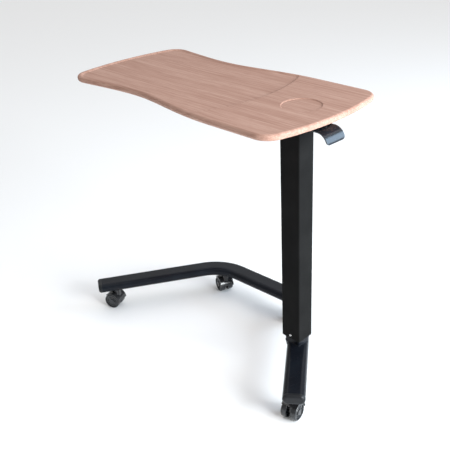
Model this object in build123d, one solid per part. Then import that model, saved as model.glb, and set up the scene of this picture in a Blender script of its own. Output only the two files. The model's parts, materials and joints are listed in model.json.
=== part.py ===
from build123d import *
import os
from math import cos, pi, radians, sin

# Overbed table: a waisted wooden top, carried off-centre on a telescopic column whose
# lockable gas spring is released by a paddle under the right-hand end, on a C-shaped
# oval-tube base that rolls on four twin-wheel casters.
#
# It is modelled about the column, with the column's axis at x = 0, y = 0 and the floor
# at z = 0, +X towards the column's end of the top and -Y towards the user. The last
# section moves every piece so that the origin is on the floor, under the middle of the
# whole table.

# ---------------------------------------------------------------- driving sizes, mm

# Tabletop
table_height = 781.0        # top surface above the floor, column fully down
top_length = 794.0
top_width = 400.0
top_thickness = 16.0
top_overhang = 118.0        # column axis to the right-hand end
right_bulge = 30.0          # how far the bowed ends stand out past their corners
left_bulge = 25.0
corner_radius = 50.0
waist_depth = 31.0          # how far each long edge draws in
waist_from_end = 503.0      # right-hand end to the narrowest place
waist_run_right = 283.0     # narrowest place to where the edge is straight again
waist_run_cut = 104.0       # how much of the left-hand run the corner cuts off
top_edge_radius = 7.0
bottom_edge_radius = 7.0

# Tray recess and cup recess in the top
lip_width = 14.0            # top's edge to the tray's floor
tray_depth = 3.0
tray_slope = 5.5            # width of the sloping wall round the tray's floor
tray_bow_radius = 400.0     # the right-hand side of the tray's floor is an arc
tray_from_end = 230.0       # right-hand end to the top of that arc
tray_corner_radius = 12.0
cup_diameter = 96.0         # the cup recess's floor
cup_from_end = 110.0        # right-hand end to the cup recess's centre
cup_offset = 8.0            # the cup recess's centre behind the middle line
cup_depth = 2.0
cup_slope = 2.5             # width of the sloping wall round the cup recess's floor
recess_rim_radius = 1.5

# Support pan, screwed under the top and welded to the column
pan_thickness = 3.0
pan_width = 130.0
pan_left = 300.0            # column axis to the pan's left end
pan_right = 60.0            # column axis to the pan's right end
pan_flange = 15.0
pan_corner_radius = 8.0
pan_screw_rows = 4
pan_screw_diameter = 4.8
pan_screw_clearance = 0.3   # pan's hole to the screw, each side
pan_screw_head_diameter = 9.0
pan_screw_head_height = 3.0
pan_screw_bite = 11.0       # length in the wood
pan_screw_margin = 15.0     # screw row to the pan's edge

# Telescopic column
column_x = 62.0
column_y = 54.0
column_wall = 2.0
column_corner_radius = 3.0
column_foot_gap = 19.5      # base tube's crown to the outer column's lower edge
glide_wall = 4.0            # post to the inside of the outer column
post_wall = 2.0
post_corner_radius = 4.0
post_sink = 5.0             # how far the post's coped end reaches below the crown
post_head_room = 59.0       # post's top to the pan's underside, column fully down
post_foot_thickness = 8.0
lower_glide_height = 50.0
upper_glide_height = 40.0
upper_glide_lip = 3.0
slide_clearance = 0.05      # each side, where one part slides or turns on another
fixed_clearance = 0.05      # each side, where a part is held fast
stroke = 300.0              # height adjustment

# Glide screws through the outer column
glide_screw_diameter = 4.0
glide_screw_head_diameter = 7.5
glide_screw_head_height = 2.4
glide_screw_up = 10.0       # column's lower edge to the screw's axis

# Gas spring
cylinder_diameter = 28.0
cylinder_wall = 2.0
cylinder_base = 6.0
gas_reserve = 136.0         # cylinder's floor to the piston, column fully down
cylinder_guide = 14.0
cylinder_stud_diameter = 10.0
rod_diameter = 10.0
rod_stud_diameter = 8.0
rod_stud_length = 14.0
piston_height = 14.0
piston_top_margin = 10.0    # piston to the guide, column fully up
nut_across_flats = 13.0
nut_height = 6.5

# Release lever and the bracket it hangs in
bracket_wall = 2.5
bracket_floor = 4.0
bracket_gap = 0.5           # bracket to the column's inside, each side
bracket_drop = 42.5         # pan's underside to the underside of the bracket's floor
lever_pin_diameter = 5.0
lever_pin_inset = 11.0      # column's right-hand face to the pin's axis
lever_pin_drop = 17.0       # pan's underside to the pin's axis
lever_knuckle_diameter = 9.0
lever_knuckle_gap = 1.0     # knuckle's end to the bracket's cheek
lever_thickness = 3.0
lever_arm_width = 24.0
lever_arm_inner = 8.0       # column axis to the arm's inner end
lever_shoulder_out = 13.0   # column's right-hand face to where the arm widens into the paddle
paddle_width = 65.0
paddle_reach = 2.0          # the paddle's outermost face past the top's right-hand end
paddle_bend_radius = 30.0   # to the middle of the plate
paddle_bend_angle = 82.0
paddle_corner_radius = 9.0
paddle_shoulder_radius = 6.0
lever_slot_clearance = 3.0  # each side of the arm, and below it
release_pin_diameter = 4.0
release_pin_gap = 0.6       # lever to the pin at rest
release_pin_length = 28.0
release_pin_travel = 2.5

# Base tube, seen from above: a rear crossbar and two splayed legs
tube_width = 60.0
tube_height = 30.0
tube_wall = 2.0
crossbar_length = 330.5     # between the corners of the centreline
left_leg_length = 417.0     # corner of the centreline to the end cap's face
right_leg_length = 454.0
left_leg_splay = 34.0       # degrees from straight forward
right_leg_splay = 35.5
bend_radius = 128.0
column_on_leg = 217.5       # centreline's corner to the column, along the right leg
column_inset = 2.7          # column's axis inside the right leg's centreline
base_turn = 2.9             # degrees, whole base about the column

# End caps
cap_length = 12.0
cap_rim_radius = 8.0
cap_plug_length = 14.0
cap_plug_wall = 3.0

# Casters
caster_rise = 20.0          # top of the wheels to the underside of the base tube
left_caster_setback = 57.0  # leg's end to the swivel axis
right_caster_setback = 46.0
rear_caster_shift = 4.0     # degrees along the bend, from its middle towards the crossbar
wheel_diameter = 50.0
wheel_width = 16.0
wheel_gap = 13.0            # between the twin wheels
wheel_face_radius = 3.5
wheel_back_radius = 1.5
wheel_face_rim = 5.0        # tread to the dish in the outer face
wheel_dish_inner = 17.0
wheel_dish_depth = 2.2
wheel_tread = 4.0           # tread to the hollow in the inner face
wheel_hollow_inner = 15.0
wheel_hollow_depth = 9.0
wheel_bore_depth = 13.0
axle_diameter = 6.0
axle_end_gap = 0.4
caster_trail = 12.0
stem_diameter = 11.0
swivel_pin_diameter = 8.0
swivel_pin_length = 26.0
stem_end_gap = 4.5          # stem's top to the socket's top
stem_collar_diameter = 18.0
stem_collar_height = 1.5
socket_diameter = 16.0
socket_top_gap = 2.0        # socket's top to the inside of the tube's crown
socket_flange_diameter = 24.0
socket_flange_height = 2.5
hood_gap = 0.5              # hood's top to the stem's collar
hood_neck_diameter = 22.0
hood_wheel_clearance = 1.2
hood_thickness = 2.8
hood_web_clearance = 0.5    # web to each wheel
hood_hub_radius = 12.0
hood_front_angle = 178.0    # degrees, forward edge of the fender about the axle
hood_back_angle = 52.0      # degrees, trailing edge of the fender
# Which way each caster trails, degrees anticlockwise from +X
caster_trails = {"left_front": 203.0, "left_rear": 160.0, "right_rear": 150.0, "right_front": 281.0}

# ---------------------------------------------------------------- levels and centrelines

top_underside = table_height - top_thickness
pan_underside = top_underside - pan_thickness
caster_height = wheel_diameter + caster_rise
tube_axis_z = caster_height + tube_height / 2
tube_crown = caster_height + tube_height
column_bottom = tube_crown + column_foot_gap
column_top = pan_underside
post_top = pan_underside - post_head_room
cavity_x = column_x - 2 * column_wall
cavity_y = column_y - 2 * column_wall
post_x = cavity_x - 2 * glide_wall
post_y = cavity_y - 2 * glide_wall
post_cavity_x = post_x - 2 * post_wall
post_cavity_y = post_y - 2 * post_wall
cylinder_bottom = tube_crown + post_foot_thickness
guide_bottom = cylinder_bottom + cylinder_base + gas_reserve + piston_height + stroke + piston_top_margin
cylinder_top = guide_bottom + cylinder_guide
rod_shoulder = pan_underside - bracket_drop
lever_pin_z = pan_underside - lever_pin_drop
lever_underside = lever_pin_z - lever_knuckle_diameter / 2 + lever_thickness / 2
release_pin_top = lever_underside - release_pin_gap
lever_pin_x = column_x / 2 - lever_pin_inset
lever_shoulder_x = column_x / 2 + lever_shoulder_out
paddle_bend_x = top_overhang + paddle_reach - lever_thickness / 2 - paddle_bend_radius

right_end = top_overhang
left_end = top_overhang - top_length
pieces = {}


def turned(x, y):
    """A point of the base, turned with the whole base about the column."""
    spot = Vector(x, y, 0).rotate(Axis.Z, base_turn)
    return Vector(spot.X, spot.Y, tube_axis_z)


right_forward = Vector(sin(radians(right_leg_splay)), -cos(radians(right_leg_splay)))
right_outward = Vector(cos(radians(right_leg_splay)), sin(radians(right_leg_splay)))
left_forward = Vector(-sin(radians(left_leg_splay)), -cos(radians(left_leg_splay)))
right_corner = right_outward * column_inset - right_forward * column_on_leg
left_corner = right_corner - Vector(crossbar_length, 0)
right_tip = right_corner + right_forward * (right_leg_length - cap_length)
left_tip = left_corner + left_forward * (left_leg_length - cap_length)
base_corners = [turned(p.X, p.Y) for p in (left_tip, left_corner, right_corner, right_tip)]


def toward(start, end):
    """Unit vector from one point to another."""
    return (end - start).normalized()


def on_bend(before, corner, after, degrees):
    """Point of the arc that rounds a corner of the base's centreline, turned from its middle."""
    inward = (toward(corner, before) + toward(corner, after)).normalized()
    half_angle = radians(toward(corner, before).get_angle(toward(corner, after)) / 2)
    return corner + inward * (bend_radius / sin(half_angle)) - inward.rotate(Axis.Z, degrees) * bend_radius


def along_leg(tip, corner, setback):
    """Swivel axis of the caster near a leg's end."""
    return tip + toward(tip, corner) * (setback - cap_length)


swivel_points = {
    "left_front": along_leg(base_corners[0], base_corners[1], left_caster_setback),
    "left_rear": on_bend(*base_corners[0:3], -rear_caster_shift),
    "right_rear": on_bend(*base_corners[1:4], rear_caster_shift),
    "right_front": along_leg(base_corners[3], base_corners[2], right_caster_setback),
}


# ---------------------------------------------------------------- shared shapes

def rounded_bar(width, depth, low, high, radius):
    """Upright bar about the column's axis, with rounded corners."""
    return Pos(0, 0, low) * extrude(RectangleRounded(width, depth, radius), high - low)


def rounded_tube(width, depth, wall, low, high, radius):
    """Upright rectangular tube about the column's axis."""
    inner_radius = max(radius - wall, 0.5)
    outer = rounded_bar(width, depth, low, high, radius)
    return outer - rounded_bar(width - 2 * wall, depth - 2 * wall, low, high, inner_radius)


def disc(diameter, low, high, x=0.0, y=0.0):
    """Upright cylinder between two levels."""
    return Pos(x, y, low) * extrude(Circle(diameter / 2), high - low)


def cross_bar(diameter, length, x, z):
    """Cylinder along Y, centred on the middle plane."""
    start = Plane((x, length / 2, z), x_dir=(1, 0, 0), z_dir=(0, -1, 0))
    return start * extrude(Circle(diameter / 2), length)


def edges_at(shape, level, inside=None):
    """Edges of a solid that lie at one level: all of them, or those inside a flat box."""
    chosen = []
    for edge in shape.edges():
        box = edge.bounding_box()
        level_edge = max(abs(box.min.Z - level), abs(box.max.Z - level)) < 1e-3
        if not level_edge:
            continue
        if inside is not None:
            low_x, high_x, low_y, high_y = inside
            if box.min.X < low_x or box.max.X > high_x or box.min.Y < low_y or box.max.Y > high_y:
                continue
        chosen.append(edge)
    return chosen


# ---------------------------------------------------------------- tabletop

def waist_half_width(from_waist, run):
    """Half width of the top at a distance from its narrowest place."""
    return top_width / 2 - waist_depth / 2 * (1 + cos(pi * from_waist / run))


def top_outline(inset=0.0):
    """Outline of the top, or one that keeps inside it by an inset.

    It has bowed ends, waisted sides and rounded corners."""
    half = top_width / 2 - inset
    right_x = right_end - right_bulge - inset
    left_x = left_end + left_bulge + inset
    waist_x = right_end - waist_from_end
    straight_x = waist_x + waist_run_right
    to_corner = waist_x - left_end - left_bulge - inset
    run_left = waist_x - left_end - left_bulge + waist_run_cut
    left_y = waist_half_width(to_corner, run_left) - inset
    slope = waist_depth * pi / (2 * run_left) * sin(pi * to_corner / run_left)
    side = Spline(
        (straight_x, half), (waist_x, half - waist_depth), (left_x, left_y),
        tangents=[(-1, 0), (-1, slope)],
    )
    rear = [Line((right_x, half), (straight_x, half)), side]
    front = [mirror(edge, Plane.XZ) for edge in rear]
    right_side = ThreePointArc((right_x, -half), (right_end - inset, 0), (right_x, half))
    left_side = ThreePointArc((left_x, left_y), (left_end + inset, 0), (left_x, -left_y))
    outline = make_face(Curve() + [right_side, left_side] + rear + front)
    corners = [v for v in outline.vertices() if abs(v.X - right_x) < 1 or abs(v.X - left_x) < 1]
    return fillet(corners, corner_radius - inset)


def tray_outline(growth):
    """Outline of the tray's floor, or of one that is larger all round by the growth.

    It keeps inside the lip, and an arc bounds it on the right."""
    bow = Pos(right_end - tray_from_end - tray_bow_radius, 0) * Circle(tray_bow_radius + growth)
    block = extrude(top_outline(lip_width - growth) & bow, tray_depth)
    bow_corners = block.edges().filter_by(Axis.Z).sort_by(Axis.X)[-2:]
    return fillet(bow_corners, tray_corner_radius + growth).faces().sort_by(Axis.Z)[0]


def sink(board, floor, rim, depth):
    """Cut a shallow recess whose wall slopes from a floor outline up to a rim outline."""
    box = rim.bounding_box()
    reach = (box.min.X - 1, box.max.X + 1, box.min.Y - 1, box.max.Y + 1)
    board -= loft([Pos(0, 0, table_height - depth) * floor, Pos(0, 0, table_height) * rim], ruled=True)
    return fillet(edges_at(board, table_height, reach), recess_rim_radius)


def pan_screw_spots():
    """Places of the screws that hold the pan: rows along both long sides of it."""
    first = -pan_left + pan_screw_margin
    last = pan_right - pan_screw_margin
    step = (last - first) / (pan_screw_rows - 1)
    y = pan_width / 2 - pan_screw_margin
    return [(first + step * i, side * y) for i in range(pan_screw_rows) for side in (-1, 1)]


def build_top():
    """The board with its tray and cup recesses."""
    outline = top_outline()
    board = Pos(0, 0, top_underside) * extrude(outline, top_thickness)
    board = fillet(edges_at(board, table_height), top_edge_radius)
    board = fillet(edges_at(board, top_underside), bottom_edge_radius)
    board = sink(board, tray_outline(0), tray_outline(tray_slope), tray_depth)
    cup_middle = Pos(right_end - cup_from_end, cup_offset)
    cup_radius = cup_diameter / 2
    cup_floor = cup_middle * Circle(cup_radius)
    cup_rim = cup_middle * Circle(cup_radius + cup_slope)
    board = sink(board, cup_floor, cup_rim, cup_depth)
    for x, y in pan_screw_spots():
        pilot = pan_screw_diameter + 2 * fixed_clearance
        board -= disc(pilot, top_underside, top_underside + pan_screw_bite + 1, x, y)
    pieces["tabletop"] = board


def build_pan():
    """Folded steel pan under the top, and its screws."""
    middle = (pan_right - pan_left) / 2
    length = pan_left + pan_right
    plate = RectangleRounded(length, pan_width, pan_corner_radius)
    pan = Pos(middle, 0, pan_underside) * extrude(plate, pan_thickness)
    for side in (-1, 1):
        y = side * (pan_width - pan_thickness) / 2
        flange = Box(length - 2 * pan_corner_radius, pan_thickness, pan_flange)
        pan += Pos(middle, y, pan_underside - pan_flange / 2) * flange
    screws = []
    for x, y in pan_screw_spots():
        pan -= disc(pan_screw_diameter + 2 * pan_screw_clearance, pan_underside, top_underside, x, y)
        shank = disc(pan_screw_diameter, pan_underside, top_underside + pan_screw_bite, x, y)
        head = disc(pan_screw_head_diameter, pan_underside - pan_screw_head_height, pan_underside, x, y)
        head = fillet(edges_at(head, pan_underside - pan_screw_head_height), pan_screw_head_height * 0.6)
        screws.append(shank + head)
    pieces["support_pan"] = pan
    pieces["pan_screws"] = Compound(children=screws)


# ---------------------------------------------------------------- column

def glide_screw_hole(side, diameter, start, end):
    """Cylinder along Y at a glide screw, between two distances from the axis."""
    z = column_bottom + glide_screw_up
    mouth = Plane((0, side * start, z), x_dir=(1, 0, 0), z_dir=(0, side, 0))
    return mouth * extrude(Circle(diameter / 2), end - start)


def build_column():
    """Outer column, its lower glide and the screws that hold the glide."""
    column = rounded_tube(column_x, column_y, column_wall, column_bottom, column_top, column_corner_radius)
    slot_width = lever_arm_width + 2 * lever_slot_clearance
    slot_bottom = lever_underside - lever_slot_clearance
    slot_height = column_top - slot_bottom
    slot = Box(4 * column_wall, slot_width, slot_height)
    column -= Pos(column_x / 2, 0, slot_bottom + slot_height / 2) * slot

    lining_x = cavity_x - 2 * fixed_clearance
    lining_y = cavity_y - 2 * fixed_clearance
    inner_radius = column_corner_radius - column_wall
    glide_top = column_bottom + lower_glide_height
    glide = rounded_bar(lining_x, lining_y, column_bottom, glide_top, inner_radius)
    glide -= rounded_bar(
        post_x + 2 * slide_clearance, post_y + 2 * slide_clearance,
        column_bottom, glide_top, post_corner_radius + slide_clearance,
    )

    screws = []
    tip = post_y / 2 + slide_clearance + 0.5
    for side in (-1, 1):
        hole = glide_screw_diameter + 2 * fixed_clearance
        column -= glide_screw_hole(side, hole, tip, column_y)
        glide -= glide_screw_hole(side, hole, tip, column_y)
        face = column_y / 2
        shank = glide_screw_hole(side, glide_screw_diameter, tip, face)
        head = glide_screw_hole(side, glide_screw_head_diameter, face, face + glide_screw_head_height)
        rim = head.edges().sort_by(Axis.Y)[0 if side < 0 else -1]
        screws.append(shank + fillet(rim, glide_screw_head_height * 0.7))
    pieces["outer_column"] = column
    pieces["lower_glide"] = glide
    pieces["glide_screws"] = Compound(children=screws)


def build_post(tube_body):
    """Inner post, coped over the base tube, with its foot block and upper glide."""
    post = rounded_tube(post_x, post_y, post_wall, tube_crown - post_sink, post_top, post_corner_radius)
    post -= tube_body

    foot = rounded_bar(
        post_cavity_x - 2 * fixed_clearance, post_cavity_y - 2 * fixed_clearance,
        tube_crown, cylinder_bottom, post_corner_radius - post_wall,
    )
    foot -= disc(cylinder_stud_diameter + 2 * fixed_clearance, tube_crown, cylinder_bottom)

    glide_low = post_top - upper_glide_height
    glide_high = post_top + upper_glide_lip
    glide = rounded_bar(
        cavity_x - 2 * slide_clearance, cavity_y - 2 * slide_clearance,
        glide_low, glide_high, column_corner_radius - column_wall,
    )
    glide -= rounded_bar(
        post_x + 2 * fixed_clearance, post_y + 2 * fixed_clearance,
        glide_low, post_top, post_corner_radius + fixed_clearance,
    )
    glide -= disc(cylinder_diameter + 2, post_top, glide_high)
    pieces["inner_post"] = post
    pieces["post_foot"] = foot
    pieces["upper_glide"] = glide


# ---------------------------------------------------------------- gas spring

def build_gas_spring():
    """Lockable gas spring: cylinder on the foot block, rod hung from the bracket."""
    bore = cylinder_diameter - 2 * cylinder_wall
    cylinder = disc(cylinder_diameter, cylinder_bottom, cylinder_top)
    cylinder -= disc(bore, cylinder_bottom + cylinder_base, guide_bottom)
    cylinder -= disc(rod_diameter + 2 * slide_clearance, guide_bottom, cylinder_top)
    cylinder = fillet(edges_at(cylinder, cylinder_top)[:1], 1.5)
    cylinder += disc(cylinder_stud_diameter, tube_crown + 0.5, cylinder_bottom)

    piston_top = guide_bottom - piston_top_margin - stroke
    piston = disc(bore - 2 * slide_clearance, piston_top - piston_height, piston_top)
    piston -= disc(rod_stud_diameter + 2 * fixed_clearance, piston_top - piston_height, piston_top)

    rod = disc(rod_diameter, piston_top, rod_shoulder)
    rod += disc(rod_stud_diameter, piston_top - piston_height, piston_top)
    rod += disc(rod_stud_diameter, rod_shoulder, rod_shoulder + rod_stud_length)
    pin_bottom = release_pin_top - release_pin_length
    bore_bottom = pin_bottom - release_pin_travel - 2
    rod -= disc(release_pin_diameter + 2 * slide_clearance, bore_bottom, rod_shoulder + rod_stud_length)

    nut_bottom = rod_shoulder + bracket_floor
    hexagon = RegularPolygon(nut_across_flats / 2, 6, major_radius=False)
    nut = Pos(0, 0, nut_bottom) * extrude(hexagon, nut_height)
    nut -= disc(rod_stud_diameter + 2 * fixed_clearance, nut_bottom, nut_bottom + nut_height)

    pin = disc(release_pin_diameter, pin_bottom, release_pin_top)
    pieces["gas_cylinder"] = cylinder
    pieces["gas_piston"] = piston
    pieces["gas_rod"] = rod
    pieces["rod_nut"] = nut
    pieces["release_pin"] = fillet(edges_at(pin, release_pin_top), release_pin_diameter / 4)


# ---------------------------------------------------------------- release lever

def paddle_plate():
    """The lever's plate: flat arm, then a quarter turn down at the paddle."""
    outer = paddle_bend_radius + lever_thickness / 2
    inner = paddle_bend_radius - lever_thickness / 2
    middle_z = lever_underside + lever_thickness / 2
    centre_z = middle_z - paddle_bend_radius
    sweep_to = radians(90 - paddle_bend_angle)

    def on_arc(radius):
        """End of the bend at one radius."""
        return (paddle_bend_x + radius * cos(sweep_to), centre_z + radius * sin(sweep_to))

    high = middle_z + lever_thickness / 2
    low = middle_z - lever_thickness / 2
    bend = (paddle_bend_x, centre_z)
    side = Curve() + [
        Line((-lever_arm_inner, low), (-lever_arm_inner, high)),
        Line((-lever_arm_inner, high), (paddle_bend_x, high)),
        CenterArc(bend, outer, 90 - paddle_bend_angle, paddle_bend_angle),
        Line(on_arc(outer), on_arc(inner)),
        CenterArc(bend, inner, 90 - paddle_bend_angle, paddle_bend_angle),
        Line((paddle_bend_x, low), (-lever_arm_inner, low)),
    ]
    plate = extrude(Plane.XZ * make_face(side), paddle_width / 2, both=True)
    tip_edges = [e for e in plate.edges() if abs(e.length - lever_thickness) < 1e-3 and e.center().Z < low]
    return fillet(tip_edges, paddle_corner_radius)


def lever_plan():
    """The lever from above: a narrow arm that widens into the paddle."""
    reach = paddle_bend_x + paddle_bend_radius + lever_thickness
    arm_length = lever_shoulder_x + lever_arm_inner + paddle_shoulder_radius
    arm = Pos(arm_length / 2 - lever_arm_inner, 0) * Rectangle(arm_length, lever_arm_width)
    blade_length = reach - lever_shoulder_x
    blade = Pos(lever_shoulder_x + blade_length / 2, 0) * Rectangle(blade_length, paddle_width)
    plan = arm + blade
    shoulders = [v for v in plan.vertices() if abs(v.X - lever_shoulder_x) < 1e-3]
    return fillet(shoulders, paddle_shoulder_radius)


def build_lever():
    """Release lever, the pin it turns on and the bracket that carries both."""
    bracket_y = cavity_y - 2 * bracket_gap
    bracket_x = cavity_x - 2 * bracket_gap
    floor_z = rod_shoulder
    bracket = Pos(0, 0, floor_z) * extrude(Rectangle(bracket_x, bracket_y), bracket_floor)
    cheek_height = pan_underside - floor_z
    for side in (-1, 1):
        y = side * (bracket_y - bracket_wall) / 2
        bracket += Pos(0, y, floor_z + cheek_height / 2) * Box(bracket_x, bracket_wall, cheek_height)
    bracket -= disc(rod_stud_diameter + 2 * fixed_clearance, floor_z, floor_z + bracket_floor)
    bracket -= cross_bar(lever_pin_diameter + 2 * fixed_clearance, column_y, lever_pin_x, lever_pin_z)

    cheek_inside = bracket_y - 2 * bracket_wall
    knuckle_length = min(cheek_inside - 2 * lever_knuckle_gap, lever_arm_width)
    plan = Pos(0, 0, lever_underside - 2 * paddle_bend_radius) * extrude(lever_plan(), 4 * paddle_bend_radius)
    lever = paddle_plate() & plan
    lever += cross_bar(lever_knuckle_diameter, knuckle_length, lever_pin_x, lever_pin_z)
    lever -= cross_bar(lever_pin_diameter + 2 * slide_clearance, column_y, lever_pin_x, lever_pin_z)
    pieces["lever_bracket"] = bracket
    pieces["lever_pin"] = cross_bar(lever_pin_diameter, bracket_y, lever_pin_x, lever_pin_z)
    pieces["release_lever"] = lever


# ---------------------------------------------------------------- base

def oval(width, height):
    """Flat-sided oval section."""
    return SlotOverall(width, height)


def section_at(point, direction, profile):
    """A profile standing across the tube, its long side level."""
    level = Vector(0, 0, 1).cross(direction).normalized()
    return Plane(point, x_dir=level, z_dir=direction) * profile


def build_base():
    """Base tube and end caps. Gives back the tube's outside as a solid."""
    path = FilletPolyline(*base_corners, radius=bend_radius)
    start = toward(base_corners[0], base_corners[1])
    bore_width = tube_width - 2 * tube_wall
    bore_height = tube_height - 2 * tube_wall
    body = sweep(section_at(base_corners[0], start, oval(tube_width, tube_height)), path)
    tube = body - sweep(section_at(base_corners[0], start, oval(bore_width, bore_height)), path)
    for spot in swivel_points.values():
        tube -= disc(socket_diameter + 2 * fixed_clearance, caster_height - 1, tube_axis_z, spot.X, spot.Y)
    pieces["base_tube"] = tube

    ends = {"left": base_corners[:2], "right": base_corners[:1:-1]}
    for name, (tip, inner) in ends.items():
        outward = toward(inner, tip)
        cap = extrude(section_at(tip, outward, oval(tube_width, tube_height)), cap_length)
        face = cap.faces().sort_by(lambda f: (f.center() - tip).dot(outward))[-1]
        cap = fillet(face.edges(), cap_rim_radius)
        plug_width = bore_width - 2 * fixed_clearance
        plug_height = bore_height - 2 * fixed_clearance
        plug = oval(plug_width, plug_height)
        plug -= oval(plug_width - 2 * cap_plug_wall, plug_height - 2 * cap_plug_wall)
        cap += extrude(section_at(tip, outward, plug), -cap_plug_length)
        pieces[name + "_end_cap"] = cap
    return body


# ---------------------------------------------------------------- casters

wheel_radius = wheel_diameter / 2
stem_bottom = caster_height - socket_flange_height
collar_bottom = stem_bottom - stem_collar_height
hood_top = collar_bottom - hood_gap
wheel_inner_face = wheel_gap / 2
wheel_outer_face = wheel_inner_face + wheel_width
socket_top = tube_crown - tube_wall - socket_top_gap


def caster_socket():
    """Steel socket in the base tube."""
    socket = disc(socket_diameter, caster_height, socket_top)
    socket += disc(socket_flange_diameter, stem_bottom, caster_height)
    return socket - disc(stem_diameter + 2 * fixed_clearance, stem_bottom, socket_top)


def caster_stem():
    """Stem held in the socket; the hood turns on its lower pin."""
    stem = disc(stem_diameter, stem_bottom, socket_top - stem_end_gap)
    stem += disc(stem_collar_diameter, collar_bottom, stem_bottom)
    return stem + disc(swivel_pin_diameter, collar_bottom - swivel_pin_length, collar_bottom)


def fender_profile():
    """Side view of the fender: an arc of constant thickness over the wheels."""
    inner = wheel_radius + hood_wheel_clearance
    outer = inner + hood_thickness
    first = radians(hood_back_angle)
    last = radians(hood_front_angle)

    def spot(radius, angle):
        """Point about the axle."""
        return (caster_trail + radius * cos(angle), wheel_radius + radius * sin(angle))

    centre = (caster_trail, wheel_radius)
    span = hood_front_angle - hood_back_angle
    return make_face(Curve() + [
        CenterArc(centre, inner, hood_back_angle, span),
        Line(spot(inner, last), spot(outer, last)),
        CenterArc(centre, outer, hood_back_angle, span),
        Line(spot(outer, first), spot(inner, first)),
    ])


def caster_hood():
    """Hood: swivel neck, fender over both wheels and the web between them."""
    overall = 2 * wheel_outer_face
    hood = disc(hood_neck_diameter, wheel_radius + hood_hub_radius, hood_top)
    hood += extrude(Plane.XZ * fender_profile(), overall / 2, both=True)
    reach = wheel_radius + hood_wheel_clearance
    hood -= cross_bar(2 * reach, overall + 2, caster_trail, wheel_radius)
    hub = Pos(caster_trail, wheel_radius) * Circle(hood_hub_radius)
    neck = Pos(0, hood_top - hood_neck_diameter / 2) * Rectangle(hood_neck_diameter, hood_neck_diameter)
    web = make_hull((hub + neck).edges())
    web_width = wheel_gap - 2 * hood_web_clearance
    hood += extrude(Plane.XZ * web, web_width / 2, both=True)
    bore_bottom = collar_bottom - swivel_pin_length - 1
    hood -= disc(swivel_pin_diameter + 2 * slide_clearance, bore_bottom, hood_top)
    return hood - cross_bar(axle_diameter + 2 * fixed_clearance, overall, caster_trail, wheel_radius)


def caster_wheel(side):
    """One wheel, dished outside and hollow inside, on its blind bore."""
    wheel = disc(wheel_diameter, 0, wheel_width)
    wheel = fillet(edges_at(wheel, wheel_width), wheel_face_radius)
    wheel = fillet(edges_at(wheel, 0), wheel_back_radius)
    dish = disc(wheel_diameter - 2 * wheel_face_rim, wheel_width - wheel_dish_depth, wheel_width)
    wheel -= dish - disc(wheel_dish_inner, wheel_width - wheel_dish_depth, wheel_width)
    hollow = disc(wheel_diameter - 2 * wheel_tread, 0, wheel_hollow_depth)
    wheel -= hollow - disc(wheel_hollow_inner, 0, wheel_hollow_depth)
    wheel -= disc(axle_diameter + 2 * slide_clearance, 0, wheel_bore_depth)
    return Location((caster_trail, side * wheel_inner_face, wheel_radius), (-90 * side, 0, 0)) * wheel


def build_casters():
    """Four twin-wheel casters, each turned to its own trailing direction."""
    axle_length = 2 * (wheel_inner_face + wheel_bore_depth - axle_end_gap)
    for name, spot in swivel_points.items():
        place = Location((spot.X, spot.Y, 0), (0, 0, caster_trails[name]))
        pieces[name + "_socket"] = place * caster_socket()
        pieces[name + "_stem"] = place * caster_stem()
        pieces[name + "_hood"] = place * caster_hood()
        pieces[name + "_axle"] = place * cross_bar(axle_diameter, axle_length, caster_trail, wheel_radius)
        pieces[name + "_wheel_a"] = place * caster_wheel(1)
        pieces[name + "_wheel_b"] = place * caster_wheel(-1)


# ---------------------------------------------------------------- assembly

build_top()
build_pan()
build_column()
build_post(build_base())
build_gas_spring()
build_lever()
build_casters()

whole = Compound(children=[copy_of.moved(Location()) for copy_of in pieces.values()]).bounding_box()
origin_shift = Vector(-(whole.min.X + whole.max.X) / 2, -(whole.min.Y + whole.max.Y) / 2, 0)

os.makedirs("parts", exist_ok=True)
for node, piece in pieces.items():
    placed = piece.moved(Location(origin_shift))
    placed.label = node
    export_step(placed, "parts/" + node + ".step")
    size = placed.bounding_box().size
    print(f"{node:24s} {len(placed.solids())} solid(s)  {size.X:7.1f} {size.Y:7.1f} {size.Z:7.1f}")
print("origin shift", round(origin_shift.X, 3), round(origin_shift.Y, 3))
print("box", [round(v, 2) for v in (whole.size.X, whole.size.Y, whole.size.Z)])
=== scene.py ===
"""Overbed table: finishes, fine detail, studio and camera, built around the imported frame."""

import json
import logging
from dataclasses import dataclass, field
from enum import Enum
from math import cos, pi, radians, sin

import bmesh
import bpy
from mathutils import Matrix, Vector


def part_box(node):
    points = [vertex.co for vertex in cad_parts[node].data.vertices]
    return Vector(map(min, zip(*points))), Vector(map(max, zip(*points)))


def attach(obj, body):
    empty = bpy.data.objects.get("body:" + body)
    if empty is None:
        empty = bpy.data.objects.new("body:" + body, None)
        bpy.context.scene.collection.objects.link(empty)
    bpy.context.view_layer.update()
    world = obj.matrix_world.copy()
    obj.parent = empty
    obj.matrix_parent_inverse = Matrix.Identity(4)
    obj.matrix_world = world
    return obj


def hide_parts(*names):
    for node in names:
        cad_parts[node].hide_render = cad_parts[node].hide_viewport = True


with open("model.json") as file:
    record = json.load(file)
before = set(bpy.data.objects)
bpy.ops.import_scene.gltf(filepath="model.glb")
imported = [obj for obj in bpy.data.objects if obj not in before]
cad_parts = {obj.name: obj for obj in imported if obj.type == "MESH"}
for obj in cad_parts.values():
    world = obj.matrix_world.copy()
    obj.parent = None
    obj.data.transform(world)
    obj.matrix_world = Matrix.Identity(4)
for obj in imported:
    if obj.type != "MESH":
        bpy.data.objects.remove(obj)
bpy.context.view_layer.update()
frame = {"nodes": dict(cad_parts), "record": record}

log = logging.getLogger("overbed_table")

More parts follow.
